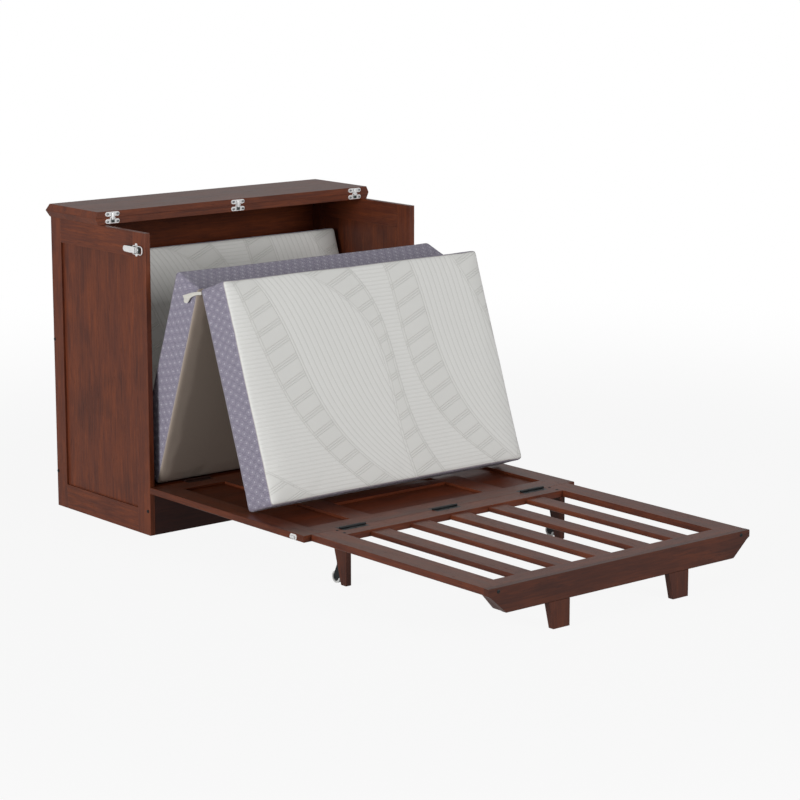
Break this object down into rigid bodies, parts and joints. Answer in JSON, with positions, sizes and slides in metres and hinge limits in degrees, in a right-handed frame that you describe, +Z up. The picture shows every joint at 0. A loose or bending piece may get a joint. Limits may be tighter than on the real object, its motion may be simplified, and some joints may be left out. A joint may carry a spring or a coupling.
{
  "type": "cabinet bed",
  "caption": "Wooden chest whose front drops down as a bed platform, with a slatted foot section on legs, a flip-over half top and a folding mattress.",
  "frame": {"origin": "middle of the footprint, on the floor", "axes": "+Z up, +Y towards the cabinet's back, -Y towards the foot of the bed, +X to the right as seen from the foot"},
  "size_m": [1.0888, 2.0816, 0.9834],
  "materials": {
    "stained_wood": "satin",
    "inside_wood": "satin",
    "bright_steel": "polished",
    "black_steel": "satin",
    "caster_wheel": "satin",
    "mattress_cover": "matte"
  },
  "bodies": {
    "cabinet": {"left_side_stiles": "stained_wood", "left_side_rails": "stained_wood", "left_side_panel": "stained_wood", "right_side_stiles": "stained_wood", "right_side_rails": "stained_wood", "right_side_panel": "stained_wood", "back_panel": "inside_wood", "deck_panel": "inside_wood", "kick_board": "inside_wood", "deck_cleats": "inside_wood", "rear_top_panel": "stained_wood", "lid_hinge_fixed_plates": "bright_steel", "lid_hinge_pins": "bright_steel", "door_hinge_fixed_leaves": "black_steel", "door_hinge_pins": "black_steel", "cabinet_bolts": "black_steel", "left_latch_base": "bright_steel", "right_latch_base": "bright_steel"},
    "lid": {"lid_panel": "stained_wood", "lid_hinge_moving_plates": "bright_steel"},
    "door": {"door_stiles": "stained_wood", "door_rails": "stained_wood", "door_mullions": "stained_wood", "door_cross_rails": "stained_wood", "door_side_fields": "stained_wood", "door_middle_fields": "stained_wood", "door_hinge_moving_leaves": "black_steel", "seam_hinge_door_leaves": "black_steel", "seam_hinge_pins": "black_steel", "left_door_catch": "bright_steel", "right_door_catch": "bright_steel"},
    "foot_section": {"left_foot_rail": "stained_wood", "right_foot_rail": "stained_wood", "rear_foot_rail": "stained_wood", "front_foot_rail": "stained_wood", "slat_1": "stained_wood", "slat_2": "stained_wood", "slat_3": "stained_wood", "slat_4": "stained_wood", "slat_5": "stained_wood", "fascia_board": "stained_wood", "fascia_blocks": "stained_wood", "left_front_leg": "stained_wood", "right_front_leg": "stained_wood", "left_caster_leg": "stained_wood", "right_caster_leg": "stained_wood", "seam_hinge_foot_leaves": "black_steel", "fascia_bolts": "black_steel", "caster_brackets": "black_steel", "caster_axles": "bright_steel"},
    "left_wheel": {"left_caster_wheel": "caster_wheel"},
    "right_wheel": {"right_caster_wheel": "caster_wheel"},
    "left_lever": {"left_latch_lever": "bright_steel"},
    "right_lever": {"right_latch_lever": "bright_steel"},
    "left_bail": {"left_latch_bail": "bright_steel"},
    "right_bail": {"right_latch_bail": "bright_steel"},
    "head_cushion": {"mattress_head": "mattress_cover"},
    "middle_cushion": {"mattress_middle": "mattress_cover", "mattress_fold_tab": "mattress_cover"},
    "foot_cushion": {"mattress_foot": "mattress_cover"}
  },
  "joints": [
    {"name": "lid_flip", "type": "hinge", "parent": "cabinet", "child": "lid", "pos_m": [0, 0.75015, 0.9632], "axis": [1, 0, 0], "range_deg": [0, 180]},
    {"name": "door_lift", "type": "hinge", "parent": "cabinet", "child": "door", "pos_m": [0, 0.49925, 0.1556], "axis": [-1, 0, 0], "range_deg": [0, 90], "deforming": ["mattress_head", "mattress_middle", "mattress_foot", "mattress_fold_tab"]},
    {"name": "foot_fold", "type": "hinge", "parent": "door", "child": "foot_section", "pos_m": [0, -0.27575, 0.1556], "axis": [-1, 0, 0], "range_deg": [0, 180], "deforming": ["mattress_head", "mattress_middle", "mattress_foot", "mattress_fold_tab"]},
    {"name": "left_wheel_spin", "type": "hinge", "parent": "foot_section", "child": "left_wheel", "pos_m": [-0.4214, -0.29125, 0.018], "axis": [1, 0, 0], "continuous": true},
    {"name": "right_wheel_spin", "type": "hinge", "parent": "foot_section", "child": "right_wheel", "pos_m": [0.4214, -0.29125, 0.018], "axis": [1, 0, 0], "continuous": true},
    {"name": "left_lever_swing", "type": "hinge", "parent": "cabinet", "child": "left_lever", "pos_m": [-0.538, 0.54575, 0.889], "axis": [0, 0, 1], "range_deg": [0, 110]},
    {"name": "right_lever_swing", "type": "hinge", "parent": "cabinet", "child": "right_lever", "pos_m": [0.538, 0.54575, 0.889], "axis": [0, 0, -1], "range_deg": [0, 110]},
    {"name": "left_bail_swing", "type": "hinge", "parent": "left_lever", "child": "left_bail", "pos_m": [-0.539, 0.55675, 0.889], "axis": [0, 0, 1], "range_deg": [-112, 0]},
    {"name": "right_bail_swing", "type": "hinge", "parent": "right_lever", "child": "right_bail", "pos_m": [0.539, 0.55675, 0.889], "axis": [0, 0, -1], "range_deg": [-112, 0]},
    {"name": "head_cushion_swing", "type": "hinge", "parent": "cabinet", "child": "head_cushion", "pos_m": [0, 0.88711, 0.81525], "axis": [1, 0, 0], "range_deg": [0, 20.93]},
    {"name": "middle_cushion_fold", "type": "hinge", "parent": "head_cushion", "child": "middle_cushion", "pos_m": [0, 0.6402, 0.20127], "axis": [1, 0, 0], "range_deg": [-40.98, 0]},
    {"name": "foot_cushion_fold", "type": "hinge", "parent": "middle_cushion", "child": "foot_cushion", "pos_m": [0, 0.27971, 0.79111], "axis": [1, 0, 0], "range_deg": [0, 40.12]}
  ],
  "couplings": [
    {"joint": "left_bail_swing", "follows": "left_lever_swing", "ratio": -1},
    {"joint": "right_bail_swing", "follows": "right_lever_swing", "ratio": -1},
    {"joint": "head_cushion_swing", "follows": "foot_fold", "ratio": 0.11459},
    {"joint": "middle_cushion_fold", "follows": "foot_fold", "ratio": -0.226},
    {"joint": "foot_cushion_fold", "follows": "foot_fold", "ratio": 0.22123}
  ]
}
